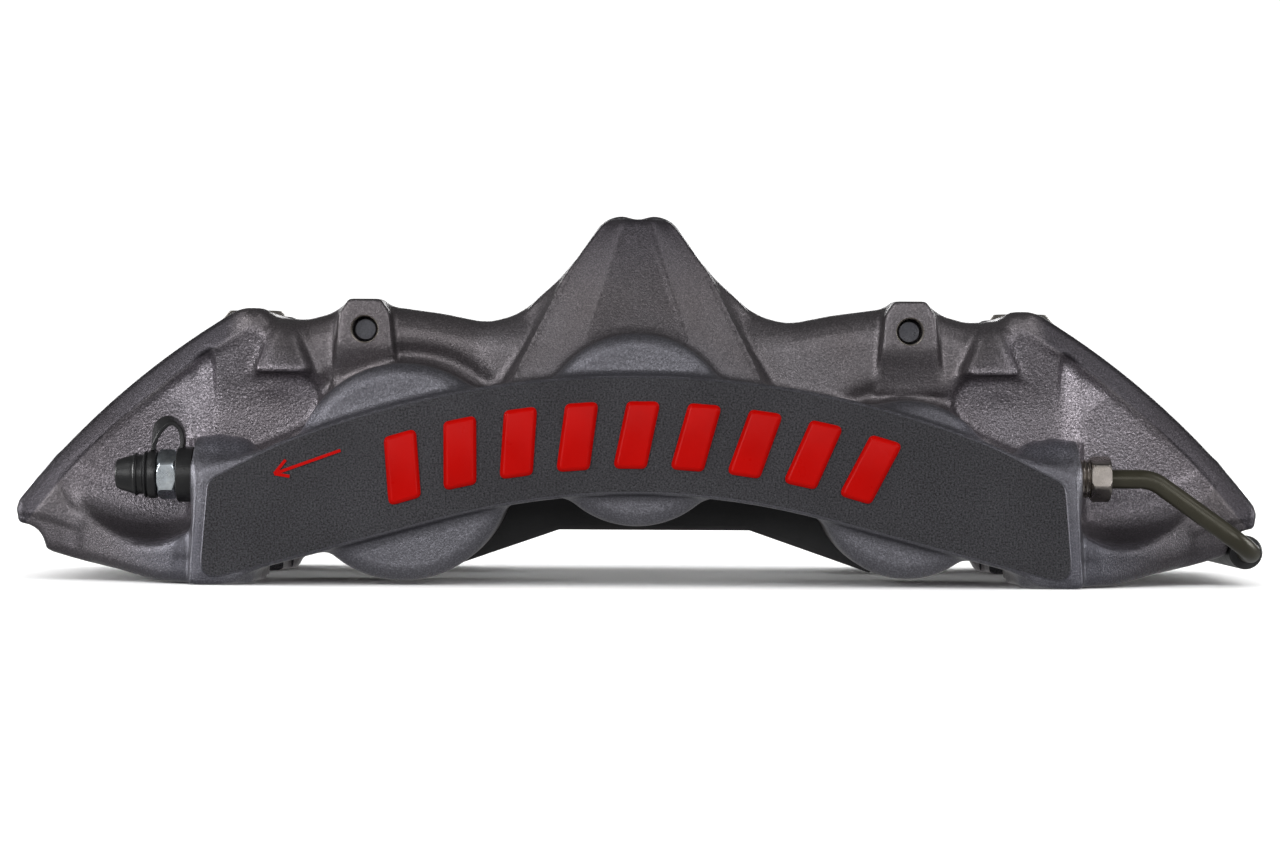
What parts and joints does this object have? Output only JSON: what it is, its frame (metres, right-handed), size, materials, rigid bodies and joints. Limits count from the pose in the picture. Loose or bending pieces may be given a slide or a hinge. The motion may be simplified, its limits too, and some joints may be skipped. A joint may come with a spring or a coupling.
{
  "type": "brake caliper",
  "caption": "Fixed brake caliper with opposed pistons, two pads, pad pins, bleed screws with capped nipples and a crossover pipe, open for a disc",
  "frame": {"origin": "midway between the disc's two faces, below the middle piston, on the plane of the mounting feet", "axes": "+X along the caliper's length, +Y from the wheel side to the vehicle side along the disc's axis, +Z away from the disc's axis"},
  "size_m": [0.3143, 0.1427, 0.092],
  "materials": {
    "anodised_casting": "dark grey hard anodised forging, fine cast grain, machined flats darker and smooth",
    "piston_alloy": "turned and hard anodised",
    "seal_rubber": "smooth black",
    "black_steel": "black powder coat",
    "friction_material": "rough dark compound with metal flecks",
    "shim_steel": "dark damping sheet",
    "zinc_steel": "zinc plated",
    "black_rubber": "moulded black rubber",
    "nut_steel": "nickel plated",
    "stainless": "stainless sheet",
    "pin_steel": "ground steel",
    "olive_pipe": "olive chromate",
    "red_paint": "glossy red enamel"
  },
  "bodies": {
    "caliper": {"caliper_body": "anodised_casting", "crossover_pipe": "olive_pipe", "emblem_bars": "red_paint", "inner_cap_strap": "black_rubber", "inner_pipe_nut": "nut_steel", "inner_seal_large": "seal_rubber", "inner_seal_middle": "seal_rubber", "inner_seal_small": "seal_rubber", "inner_wear_plate_left": "stainless", "inner_wear_plate_right": "stainless", "inner_wiper_large": "seal_rubber", "inner_wiper_middle": "seal_rubber", "inner_wiper_small": "seal_rubber", "outer_cap_strap": "black_rubber", "outer_pipe_nut": "nut_steel", "outer_seal_large": "seal_rubber", "outer_seal_middle": "seal_rubber", "outer_seal_small": "seal_rubber", "outer_wear_plate_left": "stainless", "outer_wear_plate_right": "stainless", "outer_wiper_large": "seal_rubber", "outer_wiper_middle": "seal_rubber", "outer_wiper_small": "seal_rubber", "pad_spring_left": "stainless", "pad_spring_right": "stainless", "pipe_sleeve": "black_rubber", "rotation_arrow": "red_paint", "wear_plate_screws": "stainless"},
    "outer_pad": {"outer_backing_plate": "black_steel", "outer_friction_block": "friction_material", "outer_shim": "shim_steel"},
    "outer_piston_large": {"outer_piston_large": "piston_alloy"},
    "outer_piston_middle": {"outer_piston_middle": "piston_alloy"},
    "outer_piston_small": {"outer_piston_small": "piston_alloy"},
    "outer_bleed_screw": {"outer_bleed_screw": "zinc_steel"},
    "outer_bleed_cap": {"outer_bleed_cap": "black_rubber"},
    "inner_pad": {"inner_backing_plate": "black_steel", "inner_friction_block": "friction_material", "inner_shim": "shim_steel"},
    "inner_piston_large": {"inner_piston_large": "piston_alloy"},
    "inner_piston_middle": {"inner_piston_middle": "piston_alloy"},
    "inner_piston_small": {"inner_piston_small": "piston_alloy"},
    "inner_bleed_screw": {"inner_bleed_screw": "zinc_steel"},
    "inner_bleed_cap": {"inner_bleed_cap": "black_rubber"},
    "pin_left": {"pad_pin_left": "pin_steel", "pin_sleeve_left": "pin_steel"},
    "pin_right": {"pad_pin_right": "pin_steel", "pin_sleeve_right": "pin_steel"}
  },
  "joints": [
    {"name": "outer_pad_slide", "type": "slide", "parent": "caliper", "child": "outer_pad", "axis": [0, 1, 0], "range_m": [-0.001, 0.01]},
    {"name": "outer_piston_large_slide", "type": "slide", "parent": "caliper", "child": "outer_piston_large", "axis": [0, 1, 0], "range_m": [-0.001, 0.01]},
    {"name": "outer_piston_middle_slide", "type": "slide", "parent": "caliper", "child": "outer_piston_middle", "axis": [0, 1, 0], "range_m": [-0.001, 0.01]},
    {"name": "outer_piston_small_slide", "type": "slide", "parent": "caliper", "child": "outer_piston_small", "axis": [0, 1, 0], "range_m": [-0.001, 0.01]},
    {"name": "outer_bleed_screw_turn", "type": "hinge", "parent": "caliper", "child": "outer_bleed_screw", "pos_m": [-0.111, -0.06, 0.0269], "axis": [-1, 0, 0], "range_deg": [0, 180]},
    {"name": "outer_bleed_cap_pull", "type": "slide", "parent": "caliper", "child": "outer_bleed_cap", "axis": [-1, 0, 0], "range_m": [0, 0.0085], "deforming": ["outer_cap_strap"]},
    {"name": "inner_pad_slide", "type": "slide", "parent": "caliper", "child": "inner_pad", "axis": [0, -1, 0], "range_m": [-0.001, 0.01]},
    {"name": "inner_piston_large_slide", "type": "slide", "parent": "caliper", "child": "inner_piston_large", "axis": [0, -1, 0], "range_m": [-0.001, 0.01]},
    {"name": "inner_piston_middle_slide", "type": "slide", "parent": "caliper", "child": "inner_piston_middle", "axis": [0, -1, 0], "range_m": [-0.001, 0.01]},
    {"name": "inner_piston_small_slide", "type": "slide", "parent": "caliper", "child": "inner_piston_small", "axis": [0, -1, 0], "range_m": [-0.001, 0.01]},
    {"name": "inner_bleed_screw_turn", "type": "hinge", "parent": "caliper", "child": "inner_bleed_screw", "pos_m": [-0.111, 0.06, 0.0269], "axis": [-1, 0, 0], "range_deg": [0, 180]},
    {"name": "inner_bleed_cap_pull", "type": "slide", "parent": "caliper", "child": "inner_bleed_cap", "axis": [-1, 0, 0], "range_m": [0, 0.0085], "deforming": ["inner_cap_strap"]},
    {"name": "pin_left_slide", "type": "slide", "parent": "caliper", "child": "pin_left", "axis": [0, 1, 0], "range_m": [0, 0.095]},
    {"name": "pin_right_slide", "type": "slide", "parent": "caliper", "child": "pin_right", "axis": [0, 1, 0], "range_m": [0, 0.095]}
  ],
  "couplings": [
    {"joint": "outer_piston_large_slide", "follows": "outer_pad_slide", "ratio": 1},
    {"joint": "outer_piston_middle_slide", "follows": "outer_pad_slide", "ratio": 1},
    {"joint": "outer_piston_small_slide", "follows": "outer_pad_slide", "ratio": 1},
    {"joint": "inner_piston_large_slide", "follows": "inner_pad_slide", "ratio": 1},
    {"joint": "inner_piston_middle_slide", "follows": "inner_pad_slide", "ratio": 1},
    {"joint": "inner_piston_small_slide", "follows": "inner_pad_slide", "ratio": 1}
  ]
}
